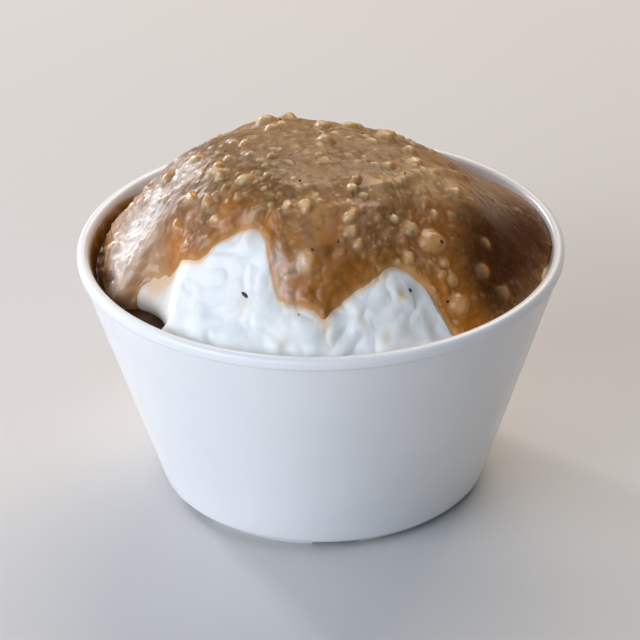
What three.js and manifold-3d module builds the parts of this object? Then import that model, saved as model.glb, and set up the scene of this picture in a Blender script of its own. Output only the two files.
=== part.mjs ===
// A side of mashed potato: a small white melamine bowl filled above its rim, with a
// lumpy brown gravy over the heap and a thin ring of gravy pooled against the wall.
// Millimetres, +Z up. The bowl stands on z = 0 round the origin, and the front, where
// the gravy leaves two windows of bare potato, faces -Y. Azimuths run from +X to +Y.

import * as THREE from 'three';
import { mergeVertices } from 'three/addons/utils/BufferGeometryUtils.js';
import Module from 'manifold-3d';

const wasm = await Module();
wasm.setup();

// ---- driving dimensions ----

const segments = 60; // steps round every body
const gap = 0.3; // clearance between pieces that touch

const bowl = {
  height: 59.2,
  rimRadius: 55, // outermost, on the lip
  baseRadius: 37, // where the wall's slope would meet the underside
  wallAngle: 17.6, // degrees from upright
  wall: 2.6, // measured level
  lipHeight: 3,
  edgeRound: 1.2, // rounding of the lip, outside and inside
  cornerRound: 2.9, // outside, wall to underside
  floor: 5, // height of the inside floor
  floorRound: 8, // inside, floor to wall
  underside: 2.2, // height of the recess inside the foot ring
};

const foot = {
  outer: 34.4,
  inner: 30.2,
  height: 1.4,
  chamfer: 0.4,
  notches: 6, // gaps in the ring that let it drain when it is stacked
  notchWidth: 9.8,
  notchLength: 12, // more than the ring's width, so that each cut runs through it
  notchTop: 1.9,
  firstNotch: -86, // azimuth
};

// the top of the whole heap, gravy included: a dome that leans to the front and left
const heap = {
  radius: 52.4,
  foot: 55.55, // height at that radius
  rise: 29.6,
  fullness: 3.09, // how flat the crown is
  flare: 1.45, // how much the foot of the dome spreads
  leanX: -0.2,
  leanY: -0.33,
  sideRise: 2.2, // how much higher it meets the wall at the right
  sideRiseAt: 4, // azimuth
  sideRiseWidth: 50, // degrees either way
};

// broad swells of the heap: [x, y, height, radius]
const swells = [
  [-12, 15, 0.6, 5],
  [-23.5, 13, -1.6, 8],
  [-40, 15, -1.6, 6],
  [32, 20, 1.2, 7],
  [9, -31, 1.1, 8],
  [-27, -16, 0.8, 9],
  [30, -22, 0.9, 10],
  [-4, -18, -0.6, 7],
];

const gravy = {
  depth: 2.4, // over the potato
  edge: 3, // width over which its edge rounds down
  lip: 0.1, // upright height of the edge itself
  wallDip: 0.6, // how far the edge comes down where it lies against the wall
  wallDepth: 3.6, // height of the edge there
  overPool: 0.4, // from the pooled gravy up to its underside
};

// where the gravy ends, [azimuth, reach]: two scalloped windows with a tongue between
// them at the front, a nick at the right, and elsewhere on to the wall or the moat
const gravyOutline = [
  [-157, 49.8],
  [-152, 47],
  [-150, 45],
  [-147, 42.2],
  [-138, 41.1],
  [-134, 39.8],
  [-126, 35.7],
  [-120, 34.1],
  [-112.5, 33.1],
  [-107, 37.4],
  [-104, 41],
  [-98.5, 43],
  [-93, 43.7],
  [-89, 45],
  [-85, 42.7],
  [-79, 41.1],
  [-69, 38.9],
  [-63, 39],
  [-60, 40.3],
  [-57, 42.6],
  [-55.5, 47],
  [-52, 53],
  [-24, 53],
  [-15, 49.6],
  [-7, 49.4],
  [1, 53],
  [80, 53],
  [104, 50.3],
  [175, 50.3],
  [190, 49.8],
];

// the channel between the potato and the wall, open round the left
const moat = {
  floor: 51.4,
  level: 53.4, // surface of the pooled gravy
  reach: 49, // radius where the potato drops to the moat's floor
  drop: 2.5, // width over which it rounds down
  middle: -190, // azimuth
  halfWidth: 60, // degrees either way
  fade: 22, // degrees over which it opens
};

const pocket = { azimuth: -144, halfWidth: 12, depth: 7 }; // where the moat widens

// the largest lumps in the gravy: [azimuth, distance out, radius]
const mainLumps = [
  [-93, 37.2, 2.6],
  [-49, 37.2, 2.5],
  [-50, 43.2, 2],
  [-47, 45.8, 1.7],
  [-34, 46.4, 1.9],
  [-54, 33.6, 2],
  [-76, 30.6, 1.9],
  [-78, 34.6, 1.7],
  [-66, 24.6, 2],
  [-3, 25, 2.1],
  [28, 17, 2.6],
  [-94, 7.4, 2.4],
  [36, 3.4, 2],
  [-139, 7.6, 1.7],
  [129, 20.4, 1.5],
  [-163, 16.8, 1.8],
  [-149, 23, 1.9],
  [-145, 27, 1.7],
  [-129, 26, 2.1],
  [-149, 33.4, 1.8],
  [-172, 34.4, 2],
  [-97, 29, 2.3],
];

const smallLumps = {
  count: 36,
  radius: [1.1, 1.8], // smallest and largest
  turn: 137.508, // degrees from one lump to the next, so that they spread evenly
  clearOfEdge: 3.2,
};

// ---- shared shapes ----

const radians = THREE.MathUtils.degToRad;
const { smoothstep } = THREE.MathUtils;
const slope = Math.tan(radians(bowl.wallAngle));

const outerWall = (z) => bowl.baseRadius + slope * (z - foot.height);
const innerWall = (z) => outerWall(z) - bowl.wall;

// shortest turn from one azimuth to another, in degrees
const turnBetween = (a, b) => ((((b - a) % 360) + 540) % 360) - 180;

// a repeatable number from 0 to 1 for each whole number and each use of it
function scatter(index, use) {
  const value = Math.sin(index * 12.9898 + use * 78.233) * 43758.5453;
  return value - Math.floor(value);
}

// turn counted upwards from one azimuth to another, 0 to 360 degrees
const turnFrom = (a, b) => (((b - a) % 360) + 360) % 360;

// a smooth closed curve through [azimuth, value] pairs, in which the slope at each
// point is that between its two neighbours
function throughPoints(points, azimuth) {
  const count = points.length;
  const start = points[0][0];
  const next = points.findIndex((point, k) => k > 0 && turnFrom(start, point[0]) > turnFrom(start, azimuth));
  const i = next < 0 ? count - 1 : next - 1;
  const [before, from, to, after] = [-1, 0, 1, 2].map((k) => points[(i + k + count) % count]);
  const span = turnFrom(from[0], to[0]);
  const tangentFrom = (to[1] - before[1]) / (span + turnFrom(before[0], from[0]));
  const tangentTo = (after[1] - from[1]) / (span + turnFrom(to[0], after[0]));
  const t = turnFrom(from[0], azimuth) / span;
  const ease = t * t * (3 - 2 * t);
  const swing = t * (1 - t) * span * (tangentFrom * (1 - t) - tangentTo * t);
  return from[1] + (to[1] - from[1]) * ease + swing;
}

// how far a point is down a quarter round of the given width that ends at reach, 0 to 1
function roundedEdge(radius, reach, width) {
  const t = THREE.MathUtils.clamp((radius - reach + width) / width, 0, 1);
  return 1 - Math.sqrt(1 - t * t);
}

// 1 at the middle of a stretch of azimuths, falling to 0 at its half width
function bump(azimuth, middle, halfWidth) {
  const share = Math.min(Math.abs(turnBetween(middle, azimuth)) / halfWidth, 1);
  return (1 + Math.cos(Math.PI * share)) / 2;
}

function heapTop(radius, azimuth) {
  const x = radius * Math.cos(radians(azimuth));
  const y = radius * Math.sin(radians(azimuth));
  const share = Math.min(radius / heap.radius, 1);
  const dome = heap.rise * (1 - share ** heap.fullness) ** heap.flare;
  const lean = 1 + (heap.leanX * x + heap.leanY * y) / heap.radius;
  const swell = ([sx, sy, height, size]) => height * Math.exp(-((x - sx) ** 2 + (y - sy) ** 2) / size ** 2);
  const relief = swells.reduce((sum, entry) => sum + swell(entry), 0);
  const side = heap.sideRise * bump(azimuth, heap.sideRiseAt, heap.sideRiseWidth);
  return heap.foot + dome * lean + relief * (1 - share ** 8) + side * smoothstep(share, 0.75, 1);
}

// hollows and crags of the potato, as left by the spoon
function crags(radius, azimuth) {
  const x = radius * Math.cos(radians(azimuth));
  const y = radius * Math.sin(radians(azimuth));
  const across = Math.sin(0.55 * x + 1.1 * Math.sin(0.31 * y));
  const along = Math.sin(0.5 * y + 1.3 * Math.sin(0.27 * x));
  const ledges = Math.sin(0.42 * radius + 0.9 * Math.sin(0.16 * x));
  return 0.55 * across * along + 0.3 * ledges;
}

// 1 where the moat is fully open, 0 where the potato runs on to the wall
function moatOpen(azimuth) {
  const away = Math.abs(turnBetween(moat.middle, azimuth));
  return 1 - smoothstep(away, moat.halfWidth - moat.fade, moat.halfWidth);
}

function potatoReach(azimuth) {
  return moat.reach - pocket.depth * bump(azimuth, pocket.azimuth, pocket.halfWidth);
}

function potatoTop(radius, azimuth) {
  const surface = heapTop(radius, azimuth) - gravy.depth + crags(radius, azimuth);
  const drop = roundedEdge(radius, potatoReach(azimuth), moat.drop) * moatOpen(azimuth);
  return surface + (moat.floor - surface) * drop;
}

// how far out the heap can go before it meets the wall
const wallReach = (azimuth) => innerWall(heapTop(innerWall(heap.foot), azimuth)) - gap;

const gravyReach = (azimuth) => Math.min(throughPoints(gravyOutline, azimuth), wallReach(azimuth));

// 1 where the gravy lies against the wall, 0 where it ends on the potato or the moat
function againstWall(azimuth) {
  return smoothstep(throughPoints(gravyOutline, azimuth) - wallReach(azimuth), -0.5, 0.5);
}

// the gravy's edge comes down onto the potato or to just above the pool, and against
// the wall it only dips a little
function gravyTop(radius, azimuth) {
  const reach = gravyReach(azimuth);
  const loose = Math.max(potatoTop(reach, azimuth), moat.level + gravy.overPool + gravy.lip);
  const held = heapTop(reach, azimuth) - gravy.wallDip;
  const edge = loose + (held - loose) * againstWall(azimuth);
  const surface = heapTop(radius, azimuth);
  return surface + (edge - surface) * roundedEdge(radius, reach, gravy.edge);
}

// ---- making bodies ----

// points along an arc in the plane of a lathe profile, angles in degrees from outward
function arc(centreRadius, centreHeight, radius, from, to, steps) {
  return Array.from({ length: steps + 1 }, (_, i) => {
    const angle = radians(from + ((to - from) * i) / steps);
    const point = new THREE.Vector2(Math.cos(angle), Math.sin(angle)).multiplyScalar(radius);
    return point.add(new THREE.Vector2(centreRadius, centreHeight));
  });
}

// leaves position alone on a geometry, with shared corners merged and no empty triangle
function welded(geometry) {
  geometry.deleteAttribute('normal');
  geometry.deleteAttribute('uv');
  const merged = mergeVertices(geometry, 1e-4);
  const corners = Array.from(merged.index.array);
  const kept = [];
  for (let i = 0; i < corners.length; i += 3) {
    const [a, b, c] = corners.slice(i, i + 3);
    if (a !== b && b !== c && c !== a) {
      kept.push(a, b, c);
    }
  }
  merged.setIndex(kept);
  return merged;
}

// a lathe whose rings are moved out of round: each ring gives [radius, height] at an
// azimuth. They run from the middle of the underside out, up and in to the crown.
function ringBody(rings) {
  const profile = rings.map((_, i) => new THREE.Vector2(1, i));
  const geometry = new THREE.LatheGeometry(profile, segments);
  const position = geometry.attributes.position;
  for (let i = 0; i < position.count; i++) {
    const azimuth = THREE.MathUtils.radToDeg(Math.atan2(-position.getZ(i), position.getX(i)));
    const [radius, height] = rings[Math.round(position.getY(i))](azimuth);
    const angle = radians(azimuth);
    position.setXYZ(i, radius * Math.cos(angle), radius * Math.sin(angle), height);
  }
  return welded(geometry);
}

function toSolid(geometry) {
  return new wasm.Manifold(
    new wasm.Mesh({
      numProp: 3,
      vertProperties: new Float32Array(geometry.attributes.position.array),
      triVerts: new Uint32Array(geometry.index.array),
    }),
  );
}

function toGeometry(solid) {
  const mesh = solid.getMesh();
  const geometry = new THREE.BufferGeometry();
  geometry.setAttribute('position', new THREE.BufferAttribute(mesh.vertProperties, 3));
  geometry.setIndex(new THREE.BufferAttribute(mesh.triVerts, 1));
  return geometry;
}

// the largest of the loose bodies that a cut leaves
function largest(solid) {
  return solid.decompose().reduce((best, piece) => (piece.volume() > best.volume() ? piece : best));
}

// a copy whose every face stands proud by a distance, to cut a neighbour with clearance:
// each corner moves to where the moved planes of its faces meet, by least squares
function grown(geometry, distance) {
  const copy = geometry.clone();
  const { position } = copy.attributes;
  const corners = copy.index.array;
  const sums = Array.from({ length: position.count }, () => ({
    square: new Array(9).fill(0),
    line: new THREE.Vector3(),
  }));
  const face = new THREE.Triangle();
  const normal = new THREE.Vector3();
  for (let i = 0; i < corners.length; i += 3) {
    face.setFromAttributeAndIndices(position, corners[i], corners[i + 1], corners[i + 2]);
    face.getNormal(normal);
    const n = normal.toArray();
    for (const corner of corners.slice(i, i + 3)) {
      sums[corner].line.add(normal);
      n.forEach((a, row) => n.forEach((b, column) => (sums[corner].square[3 * row + column] += a * b)));
    }
  }
  const softening = 0.05; // keeps the corners of a flat patch from sliding along it
  sums.forEach(({ square, line }, i) => {
    const softened = square.map((value, k) => (k % 4 === 0 ? value + softening : value));
    const matrix = new THREE.Matrix3().fromArray(softened);
    const shift = line.applyMatrix3(matrix.invert()).multiplyScalar(distance);
    position.setXYZ(i, position.getX(i) + shift.x, position.getY(i) + shift.y, position.getZ(i) + shift.z);
  });
  return copy;
}

// ---- the pieces ----

// the bowl's floor and the round up to its wall, from the middle out, moved in by an
// inset for what fills it
function insideProfile(inset) {
  const round = bowl.floorRound - inset;
  const centreHeight = bowl.floor + bowl.floorRound;
  const centreRadius = innerWall(centreHeight) - bowl.floorRound / Math.cos(radians(bowl.wallAngle));
  return [
    new THREE.Vector2(0, bowl.floor + inset),
    ...arc(centreRadius, centreHeight, round, -90, -bowl.wallAngle, 3),
  ];
}

function bowlProfile() {
  const wallUp = 90 - bowl.wallAngle;
  const cornerRadius = bowl.baseRadius - bowl.cornerRound * Math.tan(radians(wallUp / 2));
  const lipBottom = bowl.height - bowl.lipHeight;
  const edgeCentre = bowl.height - bowl.edgeRound;
  const innerEdge = innerWall(edgeCentre) + bowl.edgeRound / Math.cos(radians(bowl.wallAngle));
  return [
    new THREE.Vector2(0, bowl.underside),
    new THREE.Vector2(foot.inner, bowl.underside),
    new THREE.Vector2(foot.inner, foot.chamfer),
    new THREE.Vector2(foot.inner + foot.chamfer, 0),
    new THREE.Vector2(foot.outer - foot.chamfer, 0),
    new THREE.Vector2(foot.outer, foot.chamfer),
    new THREE.Vector2(foot.outer, foot.height),
    ...arc(cornerRadius, foot.height + bowl.cornerRound, bowl.cornerRound, -90, -bowl.wallAngle, 4),
    new THREE.Vector2(outerWall(lipBottom), lipBottom),
    new THREE.Vector2(bowl.rimRadius - 0.15, lipBottom + 0.6),
    ...arc(bowl.rimRadius - bowl.edgeRound, edgeCentre, bowl.edgeRound, 0, 90, 3),
    ...arc(innerEdge, edgeCentre, bowl.edgeRound, 90, 180 - bowl.wallAngle, 3),
    ...insideProfile(0).reverse(),
  ];
}

function makeBowl() {
  const turned = new THREE.LatheGeometry(bowlProfile(), segments);
  turned.rotateX(Math.PI / 2);
  let solid = toSolid(welded(turned));
  for (let i = 0; i < foot.notches; i++) {
    const azimuth = radians(foot.firstNotch + (360 / foot.notches) * i);
    const notch = new THREE.BoxGeometry(foot.notchLength, foot.notchWidth, 2 * foot.notchTop);
    notch.translate((foot.inner + foot.outer) / 2, 0, 0);
    notch.rotateZ(azimuth);
    solid = solid.subtract(toSolid(welded(notch)));
  }
  return toGeometry(solid);
}

// the potato fills the bowl and heaps above it, dropping to the moat's floor at its edge
function makePotato() {
  const underside = insideProfile(gap).map((point) => () => [point.x, point.y]);
  const rim = (azimuth) => {
    const height = potatoTop(innerWall(moat.floor), azimuth);
    return [innerWall(height) - gap, height];
  };
  const drop = [1, 0.85, 0.5].map((share) => (azimuth) => {
    const radius = potatoReach(azimuth) - moat.drop * (1 - share);
    return [radius, potatoTop(radius, azimuth)];
  });
  const shares = [0.92, 0.87, 0.81, 0.74, 0.66, 0.57, 0.47, 0.36, 0.24, 0.12, 0];
  const dome = shares.map((share) => (azimuth) => {
    const radius = share * potatoReach(azimuth);
    return [radius, potatoTop(radius, azimuth)];
  });
  return ringBody([...underside, rim, ...drop, ...dome]);
}

// a rounded bit of onion or dripping crumb, half sunk in the gravy's surface
function makeLump(azimuth, distance, size, index) {
  const lump = size < 1.9 ? new THREE.SphereGeometry(size, 6, 4) : new THREE.IcosahedronGeometry(size, 1);
  const stretch = 0.85 + 0.4 * scatter(index, 1);
  lump.scale(stretch, 0.95 / stretch, 0.72);
  lump.rotateZ(2 * Math.PI * scatter(index, 2));
  const tilt = Math.atan2(gravyTop(distance - 1, azimuth) - gravyTop(distance + 1, azimuth), 2);
  lump.rotateY(tilt);
  lump.translate(distance, 0, gravyTop(distance, azimuth) + 0.1 * size);
  lump.rotateZ(radians(azimuth));
  return toSolid(welded(lump));
}

// lumps beyond the named ones, smaller and evenly spread over the gravy
function scatteredLumps() {
  const lumps = [];
  for (let i = 0; i < smallLumps.count; i++) {
    const azimuth = i * smallLumps.turn + 20 * (scatter(i, 3) - 0.5);
    const share = Math.sqrt((i + 0.5) / smallLumps.count);
    const distance = share * (gravyReach(azimuth) - smallLumps.clearOfEdge);
    const [least, most] = smallLumps.radius;
    const size = least + (most - least) * scatter(i, 4);
    lumps.push([azimuth, distance, size]);
  }
  return lumps;
}

// the gravy is made thick enough to sink into the potato, then cut back to lie on it
function makeGravy(potato) {
  const lowest = moat.level + gravy.overPool;
  const core = () => [0, lowest];
  const under = (azimuth) => {
    const reach = gravyReach(azimuth);
    return [reach - gravy.wallDepth, Math.max(gravyTop(reach, azimuth) - gravy.wallDepth, lowest)];
  };
  const face = (azimuth) => {
    const reach = gravyReach(azimuth);
    const height = gravyTop(reach, azimuth) - gravy.lip - gravy.wallDepth * againstWall(azimuth);
    return [Math.min(reach, innerWall(height) - gap), height];
  };
  const edge = [1, 0.92, 0.7, 0.3].map((share) => (azimuth) => {
    const radius = gravyReach(azimuth) - gravy.edge * (1 - share);
    return [radius, gravyTop(radius, azimuth)];
  });
  const shares = [0.86, 0.78, 0.69, 0.59, 0.48, 0.36, 0.24, 0.12, 0];
  const cover = shares.map((share) => (azimuth) => {
    const radius = share * gravyReach(azimuth);
    return [radius, gravyTop(radius, azimuth)];
  });
  let solid = toSolid(ringBody([core, under, face, ...edge, ...cover]));
  [...mainLumps, ...scatteredLumps()].forEach(([azimuth, distance, size], index) => {
    solid = solid.add(makeLump(azimuth, distance, size, index));
  });
  return toGeometry(largest(solid.subtract(toSolid(grown(potato, gap)))));
}

// thin gravy in the moat: a ring up to its level that starts inside and under the
// potato's edge, cut back to lie against it
function makePool(potato) {
  const inner = moat.reach - pocket.depth - 1;
  const top = moat.level;
  const bottom = moat.floor - 1;
  const ring = new THREE.LatheGeometry(
    [
      new THREE.Vector2(inner, bottom),
      new THREE.Vector2(innerWall(bottom) - gap, bottom),
      new THREE.Vector2(innerWall(top) - gap, top),
      new THREE.Vector2(inner, top),
      new THREE.Vector2(inner, bottom),
    ],
    segments,
  );
  ring.rotateX(Math.PI / 2);
  return toGeometry(largest(toSolid(welded(ring)).subtract(toSolid(grown(potato, gap)))));
}

// ---- the model ----

function addPiece(group, name, geometry, color, roughness) {
  const material = new THREE.MeshStandardMaterial({ color, roughness, metalness: 0 });
  material.name = name;
  const mesh = new THREE.Mesh(geometry, material);
  mesh.name = name;
  group.add(mesh);
}

const potato = makePotato();
const group = new THREE.Group();
addPiece(group, 'bowl', makeBowl(), '#e9edf0', 0.22);
addPiece(group, 'mashed_potato', potato, '#f1efe4', 0.6);
addPiece(group, 'gravy', makeGravy(potato), '#8f6238', 0.25);
addPiece(group, 'gravy_pool', makePool(potato), '#6b3d16', 0.1);

export default group;
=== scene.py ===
import math

import bpy
import numpy as np
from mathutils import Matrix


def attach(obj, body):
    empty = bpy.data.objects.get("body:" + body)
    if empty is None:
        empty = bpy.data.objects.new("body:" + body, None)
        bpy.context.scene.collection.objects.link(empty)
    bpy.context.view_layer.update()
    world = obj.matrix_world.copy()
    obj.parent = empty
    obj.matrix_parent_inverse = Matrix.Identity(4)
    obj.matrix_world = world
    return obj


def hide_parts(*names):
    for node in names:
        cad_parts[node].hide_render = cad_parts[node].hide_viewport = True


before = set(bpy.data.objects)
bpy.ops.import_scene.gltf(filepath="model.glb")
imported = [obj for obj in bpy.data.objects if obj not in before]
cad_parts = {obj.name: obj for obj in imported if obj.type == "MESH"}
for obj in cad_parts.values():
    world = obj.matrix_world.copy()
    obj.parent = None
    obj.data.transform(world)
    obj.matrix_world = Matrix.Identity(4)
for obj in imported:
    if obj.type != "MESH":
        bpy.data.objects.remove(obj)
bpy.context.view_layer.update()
print("frame loaded")

# Shapes are worked out in millimetres and azimuths in degrees, from +X towards +Y.
# The bowl stands on z = 0 round the origin and its front faces -Y.
metresPerMm = 0.001


# 0 below the start, 1 above the end, and an S curve 3t^2 - 2t^3 between them
def smoothStep(value, start, end):
    t = np.clip((value - start) / (end - start), 0, 1)
    return t * t * (3 - 2 * t)


# the start plus a share of the way to the end
def blend(start, end, share):
    return start + (end - start) * share


# shortest turn from one azimuth to another
def turnBetween(start, end):
    return (end - start + 540) % 360 - 180


# a raised cosine: 1 at the middle of a stretch of azimuths, 0 beyond its half width
def azimuthBump(azimuth, middle, halfWidth):
    share = np.minimum(np.abs(turnBetween(middle, azimuth)) / halfWidth, 1)
    return (1 + np.cos(np.pi * share)) / 2


# a round patch: exp(-(distance from its middle)^2 / size^2)
def patch(x, y, middleX, middleY, size):
    return np.exp(-((x - middleX) ** 2 + (y - middleY) ** 2) / size ** 2)


# a closed curve through (azimuth, value) pairs: between two of them it is the cubic whose
# slope at each end is the slope between that point's neighbours
def throughPoints(pairs, azimuth):
    ordered = np.array(sorted([at % 360, value] for at, value in pairs))
    ats = np.concatenate([ordered[-2:, 0] - 360, ordered[:, 0], ordered[:2, 0] + 360])
    values = np.concatenate([ordered[-2:, 1], ordered[:, 1], ordered[:2, 1]])
    slopes = np.zeros_like(values)
    slopes[1:-1] = (values[2:] - values[:-2]) / (ats[2:] - ats[:-2])
    at = azimuth % 360
    i = np.clip(np.searchsorted(ats, at, side="right") - 1, 1, len(ats) - 3)
    span = ats[i + 1] - ats[i]
    t = (at - ats[i]) / span
    swing = t * (1 - t) * span * (slopes[i] * (1 - t) - slopes[i + 1] * t)
    return values[i] + (values[i + 1] - values[i]) * t * t * (3 - 2 * t) + swing


# points along an arc: centre plus radius times the cosine and sine of even angles
def arcPoints(centreX, centreY, radius, fromAngle, toAngle, count):
    angles = np.radians(np.linspace(fromAngle, toAngle, count))
    return np.stack([centreX + radius * np.cos(angles), centreY + radius * np.sin(angles)], axis=-1)


# (x, y) from radius and azimuth
def atPolar(radius, azimuth):
    return radius * np.cos(np.radians(azimuth)), radius * np.sin(np.radians(azimuth))


# one repeatable number from 0 to 1 for each whole number and each use of it: the last
# digits of a large sine
def draw(index, use):
    value = np.sin(index * 12.9898 + use * 78.233) * 43758.5453
    return value - np.floor(value)


# one repeatable number from 0 to 1 for each cell of a lattice, by multiplying its
# coordinates by large odd numbers and mixing the high digits into the low ones
def latticeDraw(cells, seed):
    whole = np.uint64
    c = cells.astype(np.int64).astype(whole)
    mixed = c[..., 0] * whole(374761393) + c[..., 1] * whole(668265263)
    mixed = mixed + c[..., 2] * whole(2147483647) + whole(seed * 1013904223)
    mixed = (mixed ^ (mixed >> whole(13))) * whole(1274126177)
    mixed = (mixed ^ (mixed >> whole(29))) * whole(2654435761)
    return ((mixed >> whole(20)) % whole(1 << 24)).astype(float) / (1 << 24)


# gradient noise, about -0.7 to 0.7: each lattice corner has a slope in a random direction,
# and the eight corners round a point are blended by the quintic 6t^5 - 15t^4 + 10t^3
def noise(points, size, seed):
    place = points / size
    cell = np.floor(place)
    inside = place - cell
    ease = inside ** 3 * (inside * (inside * 6 - 15) + 10)
    total = np.zeros(points.shape[:-1])
    for corner in np.ndindex(2, 2, 2):
        corner = np.array(corner)
        turn = 2 * np.pi * latticeDraw(cell + corner, seed)
        up = 2 * latticeDraw(cell + corner, seed + 57) - 1  # any second seed does
        level = np.sqrt(1 - up * up)
        away = inside - corner
        slope = (
            away[..., 0] * level * np.cos(turn) + away[..., 1] * level * np.sin(turn) + away[..., 2] * up
        )
        weight = np.prod(np.where(corner == 1, ease, 1 - ease), axis=-1)
        total += weight * slope
    return total


# noises added up, each with a height, a size and a seed
def noises(points, layers):
    return sum(height * noise(points, size, seed) for height, size, seed in layers)


# rounded grains scattered one to a lattice cell: each is an S curve of 1 - (distance/radius)^2
# round a random place in its cell, kept with a given chance; returns how high and how pale
# the grain at each point is, where every grain has a paleness of its own
def grains(points, size, seed, least, most, chance):
    cell = np.floor(points / size)
    height, pale = np.zeros((2, *points.shape[:-1]))
    for step in np.ndindex(3, 3, 3):
        near = cell + np.array(step) - 1
        place = np.stack([latticeDraw(near, seed + k) for k in range(3)], axis=-1)
        radius = blend(least, most, latticeDraw(near, seed + 3) ** 2)
        kept = latticeDraw(near, seed + 4) < chance
        distance = np.linalg.norm(points - (near + place) * size, axis=-1) / radius
        dome = np.where(kept, np.clip(1 - distance ** 2, 0, 1), 0)
        height = np.maximum(height, smoothStep(dome, 0.0, 1.0) * radius)
        pale = np.maximum(pale, dome * latticeDraw(near, seed + 5))
    return height, pale


# points pulled about: a share of a noise in each direction, at two sizes, is added to them
def pulled(points, share, coarse, fine, seed):
    return points + share * sum(
        reach * np.stack([noise(points, size, use + k) for k in range(3)], axis=-1)
        for reach, size, use in ((coarse, coarse, seed), (fine / 2, fine, seed + 3))
    )


# Closed skins from grids of points: rows run from one pole to the other, columns go round,
# and the first and last rows are single points. All the skins of a piece share one grid
# layout, and each is turned to face outwards by the sign of its volume.
def addSkins(name, grids, attributes=None):
    count, rows, columns = grids.shape[:3]
    inner = (rows - 2) * columns

    def perVertex(values):
        rings = values[:, 1:-1].reshape(count, inner, *values.shape[3:])
        return np.concatenate([values[:, 0, :1], rings, values[:, -1, :1]], axis=1)

    ring = 1 + np.arange(inner).reshape(rows - 2, columns)
    after = np.roll(ring, -1, axis=1)
    quads = np.stack([ring[:-1], after[:-1], after[1:], ring[1:]], axis=-1).reshape(-1, 4)
    firstPole = np.stack([np.zeros(columns, int), after[0], ring[0]], axis=-1)
    lastPole = np.stack([ring[-1], after[-1], np.full(columns, inner + 1)], axis=-1)
    triangles = np.concatenate([firstPole, lastPole])
    vertices = perVertex(grids)
    cut = np.concatenate([quads[:, [0, 1, 2]], quads[:, [0, 2, 3]], triangles])
    a, b, c = (vertices[:, cut[:, k]] for k in range(3))
    inward = (np.einsum("ijk,ijk->i", a, np.cross(b, c)) < 0)[:, None, None]
    offsets = (np.arange(count) * (inner + 2))[:, None, None]
    faces = []
    for corners in (quads, triangles):
        outward = np.where(inward, corners[None, :, ::-1], corners[None]) + offsets
        faces += outward.reshape(-1, corners.shape[1]).tolist()
    mesh = bpy.data.meshes.new(name)
    mesh.from_pydata((vertices.reshape(-1, 3) * metresPerMm).tolist(), [], faces)
    mesh.polygons.foreach_set("use_smooth", np.ones(len(faces), bool))
    for label, values in (attributes or {}).items():
        layer = mesh.attributes.new(label, "FLOAT", "POINT")
        layer.data.foreach_set("value", perVertex(values).reshape(-1).astype(np.float32))
    mesh.update()
    piece = bpy.data.objects.new(name, mesh)
    bpy.context.scene.collection.objects.link(piece)
    return piece


# a grid of rings from (radius, height, azimuth) arrays
def ringGrid(radius, height, azimuth):
    x, y = atPolar(radius, azimuth)
    return np.stack(np.broadcast_arrays(x, y, height), axis=-1)


# unit normal of a surface z = top(x, y), from its slopes over a short step
def upNormal(top, x, y, step=0.4, steepest=2.5):
    slopeX = (top(x + step, y) - top(x - step, y)) / (2 * step)
    slopeY = (top(x, y + step) - top(x, y - step)) / (2 * step)
    steep = np.hypot(slopeX, slopeY)
    scale = np.minimum(1, steepest / np.maximum(steep, 1e-9))
    normal = np.stack([-slopeX * scale, -slopeY * scale, np.ones_like(x)], axis=-1)
    return normal / np.linalg.norm(normal, axis=-1, keepdims=True)


# an sRGB hex colour as linear red, green, blue and alpha
def colour(code):
    value = np.array([int(code[i:i + 2], 16) / 255 for i in (1, 3, 5)])
    linear = np.where(value <= 0.04045, value / 12.92, ((value + 0.055) / 1.055) ** 2.4)
    return (*linear.tolist(), 1.0)


# adds a node: each setting goes to the node's own property of that name, or else to the
# input socket of that name or number; each link feeds an input from another node's socket,
# or from the mesh's point attribute where it is a name
def addNode(tree, kind, settings=None, links=None):
    node = tree.nodes.new(kind)
    for key, value in (settings or {}).items():
        if isinstance(key, str) and hasattr(node, key):
            setattr(node, key, value)
        else:
            node.inputs[key].default_value = value
    for key, source in (links or {}).items():
        if isinstance(source, str):
            source = addNode(tree, "ShaderNodeAttribute", {"attribute_name": source}).outputs["Fac"]
        tree.links.new(source, node.inputs[key])
    return node


# an empty material and its node tree
def newMaterial(name):
    material = bpy.data.materials.new(name)
    material.use_nodes = True
    material.node_tree.nodes.clear()
    return material, material.node_tree


# noise whose grains are a given number of millimetres across
def grainOf(tree, sizeMm, detail):
    place = addNode(tree, "ShaderNodeTexCoord").outputs["Object"]
    settings = {"Scale": 1 / (sizeMm * metresPerMm), "Detail": detail}
    return addNode(tree, "ShaderNodeTexNoise", settings, {"Vector": place}).outputs["Fac"]


# soft bits of a given size scattered in a body: the cells of a Voronoi pattern, each 0
# outside and, at its middle, as strong as its own random draw
def pulpOf(tree, sizeMm):
    place = addNode(tree, "ShaderNodeTexCoord").outputs["Object"]
    scale = {"Scale": 1 / (sizeMm * metresPerMm)}
    cells = addNode(tree, "ShaderNodeTexVoronoi", scale, {"Vector": place}).outputs
    drawn = addNode(tree, "ShaderNodeSeparateColor", None, {"Color": cells["Color"]}).outputs["Red"]
    drawRange = {"From Min": 0.25, "From Max": 0.95}
    strength = addNode(tree, "ShaderNodeMapRange", drawRange, {"Value": drawn}).outputs["Result"]
    outsideIn = {"From Min": 0.55, "From Max": 0.15}
    sources = {"Value": cells["Distance"], "To Max": strength}
    return addNode(tree, "ShaderNodeMapRange", outsideIn, sources).outputs["Result"]


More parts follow.
